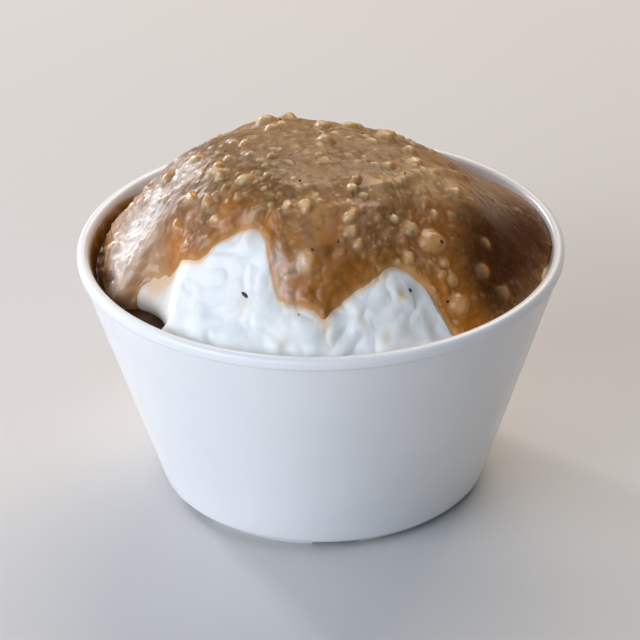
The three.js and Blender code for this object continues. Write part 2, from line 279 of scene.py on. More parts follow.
# one colour laid over another: where the factor goes from low to high, the upper colour's
# share goes from 0 to its most
def overlay(tree, under, over, factor, most=1.0, low=0.0, high=1.0):
    settings = {"From Min": low, "From Max": high, "To Max": most}
    share = addNode(tree, "ShaderNodeMapRange", settings, {"Value": factor}).outputs["Result"]
    mix = addNode(tree, "ShaderNodeMix", {"data_type": "RGBA", 7: colour(over)}, {0: share})
    if isinstance(under, str):
        mix.inputs[6].default_value = colour(under)
    else:
        tree.links.new(under, mix.inputs[6])
    return mix.outputs[2]  # 6, 7 and 2 are the node's colour sockets


# colours laid over each other in turn: each layer is a colour, the pattern or the point
# attribute that it follows, and what else the overlay takes
def layered(tree, tint, layers, patterns):
    for over, follows, *more in layers:
        tint = overlay(tree, tint, over, patterns.get(follows, follows), *more)
    return tint


# the surface shader with its settings and links, and the output that it feeds
def finishMaterial(tree, settings, links):
    shader = addNode(tree, "ShaderNodeBsdfPrincipled", settings, links)
    addNode(tree, "ShaderNodeOutputMaterial", None, {"Surface": shader.outputs["BSDF"]})


bowlForm = {
    "height": 59.2,
    "rimRadius": 55.0,
    "baseRadius": 37.0,
    "wallAngle": 17.6,
    "wall": 2.6,
    "lipHeight": 3.0,
    "edgeRound": 1.2,
    "cornerRound": 2.9,
    "floor": 5.0,
    "floorRound": 8.0,
    "underside": 2.2,
}
footForm = {
    "outer": 34.4,
    "inner": 30.2,
    "height": 1.4,
    "chamfer": 0.4,
    "notches": 6,
    "notchWidth": 9.8,
    "notchTop": 1.9,
    "keptInNotch": 0.02,  # share of its height that a point keeps there, so that no two meet
    "firstNotch": -86.0,
}
heapForm = {
    "radius": 52.4,
    "foot": 55.55,
    "rise": 29.6,
    "fullness": 3.09,
    "flare": 1.45,
    "leanX": -0.2,
    "leanY": -0.33,
    "swellFade": 8,  # power of the share of the way out by which swells fade
    "sideRise": 2.8,
    "sideRiseAt": 14.0,
    "sideRiseWidth": 60.0,
    "sideRiseFrom": 0.75,  # share of the way out
}
swells = [  # x, y, height, size
    (-12, 15, 0.6, 5), (-23.5, 13, -1.6, 8), (-40, 15, -1.6, 6), (32, 20, 1.2, 7), (9, -31, 1.1, 8),
    (-27, -16, 0.8, 9), (30, -22, 0.9, 10), (-4, -18, -0.6, 7), (33, -12, 2.4, 9),
]
foldForm = {  # a wave's pace, how far it is bent and the pace of the bend, in radians and mm
    "across": (0.55, 1.1, 0.31),
    "along": (0.5, 1.3, 0.27),
    "ledges": (0.42, 0.9, 0.16),
    "foldHeight": 0.55,
    "ledgeHeight": 0.3,
}
moatForm = {
    "floor": 51.4,
    "level": 53.4,
    "reach": 49.0,
    "drop": 2.5,
    "middle": -190.0,
    "halfWidth": 59.0,
    "fade": 22.0,
    "frontFade": 10.0,
    "pocketAt": -146.0,
    "pocketHalfWidth": 18.0,
    "pocketDepth": 7.5,
    "pocketSlope": 3.5,
    "bulge": 3.2,
    "bulgeAt": (-146.0, 16.0),  # middle and half width
    "bulgeHeights": (56.8, 5.0),  # middle and size
}
gravyForm = {
    "depth": 2.4,
    "edge": 4.2,
    "bareFrom": (-150.0, -52.2, 0.25),  # from azimuth, to azimuth, step
    "bares": (-4.0, -0.8),  # stretch by its edge, inwards of it, over which potato is laid bare
    "tongue": (-89.0, 15.0),  # middle and half width
    "tongueEvened": (-6.0, -3.0, 0.0, 3.0, 6.0),  # turns over which its outline is averaged
    "wallDip": 0.6,
    "wallBlend": 0.5,
    "overPool": 0.1,
    "scallop": 0.6,
    "scallopsAt": 42.0,
    "scallops": ((1.0, 5.0, 11), (0.5, 2.2, 12)),  # height, size, seed
    "scallopFade": (46, 49),
    "sunk": 0.35,
}
gravyOutline = [  # azimuth, how far out the gravy reaches
    (-157, 49.9), (-155, 47.4), (-153.5, 44.3), (-152, 42.7), (-150.6, 41.8), (-149, 41.15),
    (-146.5, 40.6), (-143, 40.5), (-138.4, 40.7), (-134, 40.2), (-129.3, 39.0), (-126.5, 36.6),
    (-121, 34.5), (-116.6, 33.9), (-112.8, 33.8), (-109.7, 35.2), (-107.5, 37.7), (-104.2, 40.9),
    (-102, 42.3), (-97.3, 42.9), (-92.3, 43.4), (-89.2, 44.6), (-87, 43.5), (-81.7, 41.8),
    (-75, 40.2), (-69, 38.9), (-63, 39), (-60, 40.3), (-57, 42.6), (-55.5, 47), (-52, 53), (-24, 53),
    (-15, 51.3), (-7, 51.1), (1, 53), (80, 53), (104, 50.3), (175, 50.3), (190, 49.8),
]

wallSlope = math.tan(math.radians(bowlForm["wallAngle"]))
wallCosine = math.cos(math.radians(bowlForm["wallAngle"]))


# radius of the outer wall at a height: the base's plus the wall's slope times the height
def outerWall(height):
    return bowlForm["baseRadius"] + wallSlope * (height - footForm["height"])


# radius of the inner wall, which is a wall's thickness inwards
def innerWall(height):
    return outerWall(height) - bowlForm["wall"]


# radius and height of the centre of the round between the inner wall and the floor
def floorRoundCentre():
    height = bowlForm["floor"] + bowlForm["floorRound"]
    return innerWall(height) - bowlForm["floorRound"] / wallCosine, height


# how far down a quarter round a point is, 0 to 1: 1 - sqrt(1 - t^2) over the round's width
def roundedEdge(radius, reach, width):
    t = np.clip((radius - reach + width) / width, 0, 1)
    return 1 - np.sqrt(1 - t * t)


# the heap's top: a dome (1 - share^fullness)^flare that leans, round swells, and a raised
# foot at one side
def heapTop(x, y):
    radius = np.hypot(x, y)
    azimuth = np.degrees(np.arctan2(y, x))
    share = np.minimum(radius / heapForm["radius"], 1)
    dome = heapForm["rise"] * (1 - share ** heapForm["fullness"]) ** heapForm["flare"]
    lean = 1 + (heapForm["leanX"] * x + heapForm["leanY"] * y) / heapForm["radius"]
    relief = sum(height * patch(x, y, atX, atY, size) for atX, atY, height, size in swells)
    side = azimuthBump(azimuth, heapForm["sideRiseAt"], heapForm["sideRiseWidth"])
    top = heapForm["foot"] + dome * lean + relief * (1 - share ** heapForm["swellFade"])
    return top + heapForm["sideRise"] * side * smoothStep(share, heapForm["sideRiseFrom"], 1)


# 1 in the middle of the pocket beside the heap, 0 beyond its sides
def pocketBump(azimuth):
    return azimuthBump(azimuth, moatForm["pocketAt"], moatForm["pocketHalfWidth"])


# how far out the potato reaches where the moat is open, less by a raised cosine in the pocket
def potatoReach(azimuth):
    return moatForm["reach"] - moatForm["pocketDepth"] * pocketBump(azimuth)


# 1 where the moat is open, with an S curve down to 0 at either end of it
def moatOpen(azimuth):
    away = turnBetween(moatForm["middle"], azimuth)
    fade = np.where(away > 0, moatForm["frontFade"], moatForm["fade"])
    return 1 - smoothStep(np.abs(away), moatForm["halfWidth"] - fade, moatForm["halfWidth"])


# a sine wave one way, bent by a sine wave the other way
def bentWave(main, other, pace, bend, bendPace):
    return np.sin(pace * main + bend * np.sin(bendPace * other))


# the potato under the gravy: the heap less the gravy's depth, with folds where two bent
# waves cross and ledges round it, dropping to the moat's floor where the moat is open
def potatoTop(x, y):
    radius = np.hypot(x, y)
    azimuth = np.degrees(np.arctan2(y, x))
    across = bentWave(x, y, *foldForm["across"])
    along = bentWave(y, x, *foldForm["along"])
    ledges = bentWave(radius, x, *foldForm["ledges"])
    top = heapTop(x, y) - gravyForm["depth"]
    top = top + foldForm["foldHeight"] * across * along + foldForm["ledgeHeight"] * ledges
    width = moatForm["drop"] + moatForm["pocketSlope"] * pocketBump(azimuth)
    drop = roundedEdge(radius, potatoReach(azimuth), width) * moatOpen(azimuth)
    return blend(top, moatForm["floor"], drop)


# radius of the inner wall at the height that the heap has beside it
def wallReach(azimuth):
    foot = innerWall(heapForm["foot"])
    return innerWall(heapTop(*atPolar(foot, azimuth)))


# how far out the gravy reaches: its outline, with small scallops where it ends on potato
def gravyReach(azimuth):
    drawn = throughPoints(gravyOutline, azimuth)
    x, y = atPolar(gravyForm["scallopsAt"], azimuth)
    scallops = noises(np.stack([x, y, np.zeros_like(x)], axis=-1), gravyForm["scallops"])
    free = 1 - smoothStep(drawn, *gravyForm["scallopFade"])
    return np.minimum(drawn + gravyForm["scallop"] * scallops * free, wallReach(azimuth))


# 1 where the gravy's outline is past the wall, 0 where it falls short of it
def againstWall(azimuth):
    width = gravyForm["wallBlend"]
    return smoothStep(throughPoints(gravyOutline, azimuth) - wallReach(azimuth), -width, width)


# how far points are from where the gravy ends on bare potato, in plan and in space: the
# least distance to the points of that edge, one row of the grid at a time
def fromBareEdge(x, y):
    azimuth = np.arange(*gravyForm["bareFrom"])
    edgeX, edgeY = atPolar(gravyReach(azimuth), azimuth)
    edgeZ = heapTop(edgeX, edgeY)
    z = heapTop(x, y)
    inPlan, inSpace = np.empty_like(x), np.empty_like(x)
    for row in range(len(x)):
        apart = (x[row][:, None] - edgeX) ** 2 + (y[row][:, None] - edgeY) ** 2
        inPlan[row] = np.sqrt(apart.min(axis=1))
        inSpace[row] = np.sqrt((apart + (z[row][:, None] - edgeZ) ** 2).min(axis=1))
    return inPlan, inSpace


# the gravy's top: the heap's, falling at its edge by the mean of a parabola t^2 and a quarter
# round onto the potato or into the pool, and as a quarter round at the wall; the fall is
# measured from the nearest edge, and on the tongue from its evened outline
def gravyTop(radius, azimuth, reach, fromBare):
    x, y = atPolar(radius, azimuth)
    edgeX, edgeY = atPolar(reach, azimuth)
    atWall = againstWall(azimuth)
    width = gravyForm["edge"]
    potatoLevel = blend(potatoTop(x, y), potatoTop(edgeX, edgeY), moatOpen(azimuth))
    loose = np.maximum(potatoLevel, moatForm["level"] - gravyForm["overPool"])
    held = heapTop(edgeX, edgeY) - gravyForm["wallDip"]
    evened = np.mean([gravyReach(azimuth + turn) for turn in gravyForm["tongueEvened"]], axis=0)
    onTongue = azimuthBump(azimuth, *gravyForm["tongue"])
    loosely = blend(np.minimum(reach - radius, fromBare), evened - radius, onTongue)
    inside = np.where(atWall < 0.5, loosely, fromBare)
    t = np.clip(1 - inside / width, 0, 1)
    top = blend(heapTop(x, y), loose, (t * t + 1 - np.sqrt(1 - t * t)) / 2)
    return blend(top, held, atWall * roundedEdge(radius, reach, width))


mashRelief = {
    "foldSize": 9.5,
    "foldHeight": 1.5,
    "clumpSize": 4.6,
    "clumpHeight": 0.75,
    "flakeSize": 2.1,
    "flakeHeight": 0.1,
    "crumbSize": 1.0,
    "crumbHeight": 0.02,
    "puffMean": 0.42,  # taken off, so that puffs and creases balance
    "pull": 2.4,
    "pullSize": 7.0,
    "roughSize": 8.0,
    "roughNoise": (-0.3, 0.4),  # from the smoothest stretches to the roughest
    "smoothest": 0.7,
    "rougher": 0.6,
    "smoothSpots": [(-33.5, -26.0, 7.5, 0.8), (-23.0, -33.0, 6.0, 0.2)],  # x, y, size, share
}


# puffs with creases between them are twice the size of a noise's absolute value, at three
# sizes, pulled about by a broader noise, stronger in rough stretches, with folds under them
def mashFluff(points):
    pull = np.stack([noise(points, mashRelief["pullSize"], seed) for seed in (21, 22, 23)], axis=-1)
    bent = points + mashRelief["pull"] * pull
    fluff = 0
    for kind, seed in (("clump", 24), ("flake", 25), ("crumb", 26)):
        puff = 2 * np.abs(noise(bent, mashRelief[kind + "Size"], seed)) - mashRelief["puffMean"]
        fluff = fluff + mashRelief[kind + "Height"] * puff
    rough = smoothStep(noise(points, mashRelief["roughSize"], 27), *mashRelief["roughNoise"])
    fluff = fluff * (mashRelief["smoothest"] + mashRelief["rougher"] * rough)
    fluff = fluff + mashRelief["foldHeight"] * noise(points, mashRelief["foldSize"], 28)
    for x, y, size, share in mashRelief["smoothSpots"]:
        fluff = fluff * (1 - share * patch(points[..., 0], points[..., 1], x, y, size))
    return fluff


# the soft lump that overhangs the pocket: pushed outwards by a Gaussian of its height, and
# what lies on it by a little more
def bulged(points, azimuth, more=0.0):
    middle, size = moatForm["bulgeHeights"]
    push = (moatForm["bulge"] + more) * np.exp(-((points[..., 2] - middle) / size) ** 2)
    push = push * azimuthBump(azimuth, *moatForm["bulgeAt"])
    radius = np.maximum(np.hypot(points[..., 0], points[..., 1]), 1)
    level = points[..., :2] * (1 + push / radius)[..., None]
    return np.concatenate([level, points[..., 2:]], axis=-1)


# how far potato at a radius is laid bare: 0 well under the gravy, 1 from its edge outwards
def bareness(radius, reach):
    return smoothStep(radius - reach, *gravyForm["bares"])


# a grid's point attributes, with none on the hidden rows before the ones that show
def shownOnly(attributes, hiddenGrid):
    none = np.zeros(hiddenGrid.shape[:2])
    return {label: np.concatenate([none, values])[None] for label, values in attributes.items()}


bowlDetail = {
    "azimuths": 360,
    "wallRows": 30,
    "undersidePoints": 6,
    "chamferPoints": 4,
    "cornerPoints": 9,
    "roundPoints": 8,
    "outerStart": 2.2,  # height above the foot where the straight outer wall starts
    "innerEnds": (0.6, 1.5),  # how far below the rounds' centres the inner wall starts and ends
    "lipCurve": [(0.22, 0.25), (0.04, 0.7)],  # in from the rim, up from the lip's bottom
    "floorTurn": 12,  # degrees past the wall where the floor's round starts
    "notchSide": 0.12,  # degrees that the side of a notch takes
    "sharpAngle": 40,
    "filmAndReflectionFrom": 138.0,  # azimuths between which the inside is browned: a thin gravy stain and a painted reflection of the gravy
    "filmAndReflectionTo": 233.0,
    "filmAndReflectionFade": 18.0,
    "filmAndReflectionTop": 58.7,
    "filmAndReflectionFades": 3.4,
    "filmAndReflectionWithin": 0.4,
}


# half the bowl's section from the middle of the underside out, up, over the lip and down
# the inside to the middle of the floor
def bowlSection():
    angle = bowlForm["wallAngle"]
    corner = bowlForm["cornerRound"]
    cornerAt = bowlForm["baseRadius"] - corner * math.tan(math.radians((90 - angle) / 2))
    rim = bowlForm["rimRadius"]
    lipBottom = bowlForm["height"] - bowlForm["lipHeight"]
    edge = bowlForm["edgeRound"]
    edgeCentre = bowlForm["height"] - edge
    innerEdge = innerWall(edgeCentre) + edge / wallCosine
    floorAt, floorCentre = floorRoundCentre()
    floorStart = -angle - bowlDetail["floorTurn"]
    chamfer = footForm["chamfer"]
    points = bowlDetail["roundPoints"]
    belowEdge, belowFloorCentre = bowlDetail["innerEnds"]
    outerUp = np.linspace(footForm["height"] + bowlDetail["outerStart"], lipBottom, bowlDetail["wallRows"])
    innerDown = np.linspace(
        edgeCentre - belowEdge, floorCentre - belowFloorCentre, 2 * bowlDetail["wallRows"]
    )
    underside = np.linspace(0, footForm["inner"], bowlDetail["undersidePoints"])
    return np.concatenate([
        np.stack([underside, np.full_like(underside, bowlForm["underside"])], axis=-1),
        arcPoints(footForm["inner"] + chamfer, chamfer, chamfer, 180, 270, bowlDetail["chamferPoints"]),
        arcPoints(footForm["outer"] - chamfer, chamfer, chamfer, -90, 0, bowlDetail["chamferPoints"]),
        [[footForm["outer"], footForm["height"]]],
        arcPoints(cornerAt, footForm["height"] + corner, corner, -90, -angle, bowlDetail["cornerPoints"]),
        np.stack([outerWall(outerUp), outerUp], axis=-1)[1:],
        [[rim - inwards, lipBottom + up] for inwards, up in bowlDetail["lipCurve"]],
        arcPoints(rim - edge, edgeCentre, edge, 0, 90, points),
        arcPoints(innerEdge, edgeCentre, edge, 90, 180 - angle, points),
        np.stack([innerWall(innerDown), innerDown], axis=-1),
        arcPoints(floorAt, floorCentre, bowlForm["floorRound"], floorStart, -90, points),
        [[0.0, bowlForm["floor"]]],
    ])


# the section turned about the axis; between the sides of a notch the foot's points are
# lifted to the notch's top, and the inside is browned by a thin gravy stain and a painted
# reflection of the gravy
def makeBowl():
    section = bowlSection()
    even = np.arange(bowlDetail["azimuths"]) * 360 / bowlDetail["azimuths"] - 180
    footMiddle = (footForm["outer"] + footForm["inner"]) / 2
    half = math.degrees(math.asin(footForm["notchWidth"] / 2 / footMiddle))
    outerHalf = half + bowlDetail["notchSide"]
    middles = footForm["firstNotch"] + np.arange(footForm["notches"]) * 360 / footForm["notches"]
    sides = (middles[:, None] + np.array([-outerHalf, -half, half, outerHalf])).reshape(-1)
    azimuth = np.unique(np.concatenate([even, (sides + 180) % 360 - 180]).round(3))
    away = np.min(np.abs(turnBetween(middles[:, None], azimuth)), axis=0)
    inNotch = away <= half + 0.01  # a little more than the rounding
    radius = np.repeat(section[:, :1], len(azimuth), axis=1)
    height = np.repeat(section[:, 1:], len(azimuth), axis=1)
    lifted = footForm["notchTop"] + footForm["keptInNotch"] * height
    height = np.where(inNotch, np.maximum(height, lifted), height)
    around = azimuth % 360
    filmAndReflectionFrom, filmAndReflectionTo, fade = (bowlDetail[key] for key in ("filmAndReflectionFrom", "filmAndReflectionTo", "filmAndReflectionFade"))
    along = smoothStep(around, filmAndReflectionFrom, filmAndReflectionFrom + fade)
    along = along * (1 - smoothStep(around, filmAndReflectionTo - fade, filmAndReflectionTo))
    pastLip = (np.arange(len(section)) > len(section) / 2)[:, None]
    onInside = pastLip & (radius < innerWall(height) + bowlDetail["filmAndReflectionWithin"])
    down = smoothStep(bowlDetail["filmAndReflectionTop"] - height, 0, bowlDetail["filmAndReflectionFades"])
    filmAndReflection = np.where(onInside, along * down, 0)
    piece = addSkins("melamineBowl", ringGrid(radius, height, azimuth)[None], {"filmAndReflection": filmAndReflection[None]})
    piece.data.set_sharp_from_angle(angle=math.radians(bowlDetail["sharpAngle"]))
    return piece


bowlFinish = {
    "white": "#ecedee",
    "layers": [  # colour, what it follows, its most, and the stretch over which it comes in
        ("#e7e9ea", "clouds", 1.0, 0.35, 0.7),
        # the browns inside: a thin gravy stain with a painted reflection of the gravy in the wall; the
        # darkest is painted shade low by the pool
        ("#b39468", "stain", 1.0, 0.0, 0.4),
        ("#85500f", "stain", 1.0, 0.2, 0.7),
        ("#522a06", "stain", 1.0, 0.7, 1.0),
    ],
    "cloudSize": 22.0,
    "streakSize": 3.5,
    "roughness": {"To Min": 0.24, "To Max": 0.5},  # clean, stained
    "unevenSize": 9.0,
    "uneven": {"Strength": 0.04, "Distance": 0.0002},
}


# Compression-moulded melamine: hard, dense and white, with a glossy skin that is a little
# uneven, so that reflections swim slightly; thin gravy stains the inside golden brown, and the
# same brown paints the gravy's reflection in the wall, darkest as painted shade by the pool.
def melamineMaterial():
    material, tree = newMaterial("mouldedMelamine")
    streaks = grainOf(tree, bowlFinish["streakSize"], 4.0)
    # the inside's brown, streaked: a thin gravy stain and a painted reflection of the gravy
    stain = addNode(tree, "ShaderNodeMapRange", {"From Max": 0.5}, {"Value": streaks, "To Max": "filmAndReflection"})
    patterns = {"clouds": grainOf(tree, bowlFinish["cloudSize"], 2.0), "stain": stain.outputs["Result"]}
    uneven = grainOf(tree, bowlFinish["unevenSize"], 1.0)
    rough = addNode(tree, "ShaderNodeMapRange", bowlFinish["roughness"], {"Value": "filmAndReflection"})
    skin = addNode(tree, "ShaderNodeBump", bowlFinish["uneven"], {"Height": uneven})
    finishMaterial(
        tree,
        {"IOR": 1.5},
        {
            "Base Color": layered(tree, bowlFinish["white"], bowlFinish["layers"], patterns),
            "Roughness": rough.outputs["Result"],
            "Normal": skin.outputs["Normal"],
        },
    )
    return material


bowl = makeBowl()
bowl.data.materials.append(melamineMaterial())
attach(bowl, "root")
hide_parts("bowl")
print("bowl made:", len(bowl.data.polygons), "faces")


potatoDetail = {
    "frontFrom": -172.0,
    "frontTo": -36.0,
    "frontStep": 0.32,
    "backStep": 2.0,
    "sideRight": (-36.0, 12.0, 0.8),
    "slopeRows": 112,
    "slopeFrom": 0.56,
    "crownRows": 10,
    "dropRows": 12,
    "moatShares": (0.0, 0.25, 0.5, 0.75),  # rings on the moat's floor, from the wall inwards
    "inset": 0.3,  # gap to the bowl under the moat
    "wallTop": 48.0,
    "wallGap": 0.05,
    "pressed": 1.1,  # how much lower it lies under the gravy than its own surface
    "pressedFrom": (0.15, 1.9),
    "wash": (0.7, 1.6),  # how far gravy stains it, and how much farther by the pocket
    "washAt": (-149, 9),
    "washUneven": (1.2, 2.2, 29),  # height, size, seed
}
potatoStains = [  # where skins, butter and gravy show through: x, y, size, share
    (16.8, -38.5, 1.0, 0.75), (13.6, -45.2, 1.1, 0.45), (-8.4, -47.0, 1.2, 0.35),
    (-16.6, -39.6, 1.4, 0.3), (-34.0, -24.5, 4.5, 0.25), (2.0, -46.6, 1.4, 0.25),
    (8.6, -44.0, 0.9, 0.3), (0.6, -45.8, 0.8, 0.5),
]


# azimuths of the potato's columns: close together at the front and far apart behind
def potatoAzimuths():
    side = potatoDetail["sideRight"]
    return np.concatenate([
        np.arange(potatoDetail["frontFrom"], potatoDetail["frontTo"], potatoDetail["frontStep"]),
        np.arange(*side),
        np.arange(side[1], 360 + potatoDetail["frontFrom"], potatoDetail["backStep"]),
    ])


# how strongly gravy tints the potato beside it: exp(-distance/width) from its edge, with
# the way down counted less than the way out and a width that is uneven
def gravyWash(base, radius, azimuth, cover):
    width, more = potatoDetail["wash"]
    width = width + more * azimuthBump(azimuth, *potatoDetail["washAt"])
    uneven = 1 + noises(base, [potatoDetail["washUneven"]])
    edgeHeight = potatoTop(*atPolar(cover, azimuth))
    below = np.where(radius > cover, np.maximum(edgeHeight - base[..., 2], 0), 0)
    beyond = np.hypot(np.maximum(radius - cover, 0), 0.7 * below)
    return np.exp(-beyond / (width * np.maximum(uneven, 0.2)))


# rings up the inside of the bowl, across the moat's floor, up the heap and in to the crown;
# every point of the top is pushed out along the surface by the fluff where it is bare
def makePotato():
    azimuth = potatoAzimuths()
    inset = potatoDetail["inset"]
    floorAt, floorCentre = floorRoundCentre()
    floorRound = bowlForm["floorRound"] - inset
    upWall = np.linspace(floorCentre, potatoDetail["wallTop"], 5)[1:]
    buried = np.concatenate([
        [[0.0, bowlForm["floor"] + inset]],
        arcPoints(floorAt, floorCentre, floorRound, -90, -bowlForm["wallAngle"], 6),
        np.stack([innerWall(upWall) - inset, upWall], axis=-1),
    ])
    buriedGrid = ringGrid(buried[:, :1], buried[:, 1:], azimuth)

    reach = potatoReach(azimuth)
    rimHeight = potatoTop(*atPolar(innerWall(moatForm["floor"]), azimuth))
    rim = innerWall(rimHeight) - potatoDetail["wallGap"]
    turn = np.radians(np.linspace(90, 0, potatoDetail["dropRows"]))
    inside = reach - moatForm["drop"]
    shares = np.concatenate([
        np.linspace(1, potatoDetail["slopeFrom"], potatoDetail["slopeRows"])[1:],
        np.linspace(potatoDetail["slopeFrom"], 0, potatoDetail["crownRows"])[1:],
    ])
    radius = np.stack(
        [blend(rim, reach, share) for share in potatoDetail["moatShares"]]
        + [reach - moatForm["drop"] * (1 - math.sin(t)) for t in turn]
        + [share * inside for share in shares]
    )
    x, y = atPolar(radius, azimuth)
    cover = gravyReach(azimuth)
    pressed = potatoDetail["pressed"] * smoothStep(cover - radius, *potatoDetail["pressedFrom"])
    base = bulged(np.stack([x, y, potatoTop(x, y) - pressed], axis=-1), azimuth)
    fluff = mashFluff(base) * bareness(radius, cover) * smoothStep(rim - radius, 0.0, 1.5)
    normal = upNormal(potatoTop, x, y)
    top = base + normal * fluff[..., None]
    topRadius = np.hypot(top[..., 0], top[..., 1])
    fit = (innerWall(top[..., 2]) - potatoDetail["wallGap"]) / np.maximum(topRadius, 1e-6)
    top[..., :2] = top[..., :2] * np.minimum(1, fit)[..., None]

    stain = np.zeros_like(radius)
    for atX, atY, size, share in potatoStains:
        stain = np.maximum(stain, share * patch(x, y, atX, atY, size))
    attributes = {
        "nearGravy": gravyWash(base, radius, azimuth, cover),
        "stain": stain,
        # painted blue-grey shade in the fluff's creases
        "creaseShade": np.clip(-fluff, 0, 1),
    }
    grid = np.concatenate([buriedGrid, top])
    piece = addSkins("fluffyPotato", grid[None], shownOnly(attributes, buriedGrid))
    return piece, base, top, normal


potatoFinish = {
    "white": "#f3f3ef",
    "layers": [  # colour, what it follows, its most, and the stretch over which it comes in
        ("#e9ebe9", "clouds", 1.0, 0.35, 0.7),
        # painted blue-grey shade in the creases
        ("#cdd4d8", "creaseShade", 0.35),
        ("#c2a35c", "stain"),
        ("#e2b98a", "nearGravy", 0.75),
    ],
    "cloudSize": 4.0,
    "fineSize": 1.1,
    "fine": {"Strength": 0.02, "Distance": 0.00025},
    "shader": {
        "Roughness": 0.5,
        "IOR": 1.38,
        "Subsurface Weight": 0.7,
        "Subsurface Radius": (1.0, 0.9, 0.8),
        "Subsurface Scale": 0.0013,
    },
}


# Mashed potato: a moist starchy foam, matt with a faint wet sheen, which light enters and
# leaves a millimetre or so away, so that creases stay pale and shadows turn blue-grey; a
# blue-grey painted shade is laid in the creases as well.
def potatoMaterial():
    material, tree = newMaterial("mashedPotato")
    patterns = {"clouds": grainOf(tree, potatoFinish["cloudSize"], 4.0)}
    tint = layered(tree, potatoFinish["white"], potatoFinish["layers"], patterns)
    fine = grainOf(tree, potatoFinish["fineSize"], 3.0)
    skin = addNode(tree, "ShaderNodeBump", potatoFinish["fine"], {"Height": fine})
    finishMaterial(tree, potatoFinish["shader"], {"Base Color": tint, "Normal": skin.outputs["Normal"]})
    return material


potato, potatoBase, potatoSkin, potatoNormal = makePotato()
potato.data.materials.append(potatoMaterial())
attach(potato, "root")
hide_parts("mashed_potato")
print("potato made:", len(potato.data.polygons), "faces")


gravyDetail = {
    "stretches": [  # from azimuth, to azimuth, step
        (-196, -172, 0.6), (-172, -61, 0.44), (-61, -50, 0.22),
        (-50, 14, 0.5), (14, 62, 0.75), (62, 164, 1.5),
    ],
    "topRows": 124,
    "edgeRows": 28,
    "underShares": (0.0, 0.3, 0.6, 0.8, 0.9, 0.96, 0.99),  # rings under it, from the axis out
    "profile": (48, -125.0),  # reach and azimuth of the profile along which rows are even
    "wallGap": 0.02,
    "clear": 1.5,  # how much farther than the potato it bulges over the pocket
    "thinnest": 1.1,  # over potato, except at its edge
    "softness": 0.1,
}
reliefForm = {
    "broad": ((1.0, 8.0, 52), (0.48, 3.6, 53)),  # height, size, seed
    "fine": ((0.13, 1.9, 56), (0.05, 1.2, 54)),
    "filmHeight": 0.22,  # more of the finest on thin film
    "filmSize": 1.0,
    "pull": (0.4, 1.6, 0.9, 81),  # share, coarse size, fine size, seed
    "crumbs": (2.5, 31, 0.7, 1.8, 0.6),  # cell, seed, least and most radius, chance
    "crumbRise": 0.5,
    "drifts": 6.5,  # size of the drifts that crumbs lie in
    "grains": (1.25, 41, 0.45, 0.8, 0.8),
    "grainRise": 0.4,
    "ridgePull": (0.5, 2.6, 1.2, 71),
}
lumpForm = {
    "rise": 0.68,  # height as a share of the radius
    "reach": 1.2,  # where the dome ends, in radii
    "pull": (0.32, 2.8, 1.4, 61),
    "stretch": (0.8, 0.45),  # the least, and how much more there may be
    "leastPale": (0.85, 0.15),  # of the placed lumps, and of the scattered ones
    # the painted shadow ring round each lump, stronger on its lee side
    "leastShadowRing": 0.25,
    "shadowRing": (0.95, 0.25),  # where it lies and how wide it is, as shares of the reach
    "lee": (-0.5, 0.9),
    # painted orange glow on each lump's lee side, as if light came through it
    "leeGlow": (0.1, 0.5),
}
mainLumps = [  # azimuth, distance out, radius
    (-94, 38.6, 2.7), (-49.7, 37.4, 2.9), (-49, 43, 1.6), (-50, 46.4, 2.1), (-37, 44, 1.7),
    (-34, 48, 1.6), (-55, 34.6, 1.9), (-60, 38.8, 1.3), (-77, 36.2, 1.2), (-79, 34.2, 1.5),
    (-78, 31.6, 1.6), (-74, 25.3, 1.3), (-96, 29.4, 1.6), (-72, 4.2, 2.0), (26, 16.6, 2.6),
    (137, 16.2, 2.6), (-159, 17.5, 1.4), (-148, 23.5, 1.3), (-143, 27.6, 2.0), (-128, 26.2, 1.7),
    (-168, 27.8, 1.6), (-171, 34, 1.8), (-147, 33.6, 1.5), (-146, 38.4, 1.8), (-130, 35, 1.2),
    (-19, 22.3, 1.9), (-40, 19.6, 1.5), (-5, 11.8, 1.3), (-29, 41.3, 1.2), (-24, 32.4, 1.6),
    (85, 10.2, 2.1), (59, 13.6, 2.2), (110, 20, 1.9), (160, 11, 1.7), (0, 20, 2.0), (45, 22, 1.8),
    (-42, 33.6, 1.1),
]
smallLumps = {"count": 26, "least": 0.8, "most": 1.6, "turn": 137.508, "stray": 20, "clearOfEdge": 3.2}
spoonRidges = [  # from x, y to x, y, half width, height
    (-19, -29.3, -12.3, -28.2, 0.8, 0.6), (-10.4, -30.3, -6, -29.6, 0.8, 0.6),
    (-0.3, -17, 3.4, -15.5, 0.7, 0.5), (6.5, -25.3, 12.4, -22, 0.6, 0.5),
    (12.6, -21.5, 24.3, -10, 1.7, 0.7), (25, -8.7, 32.5, 1.5, 1.2, 0.7),
]
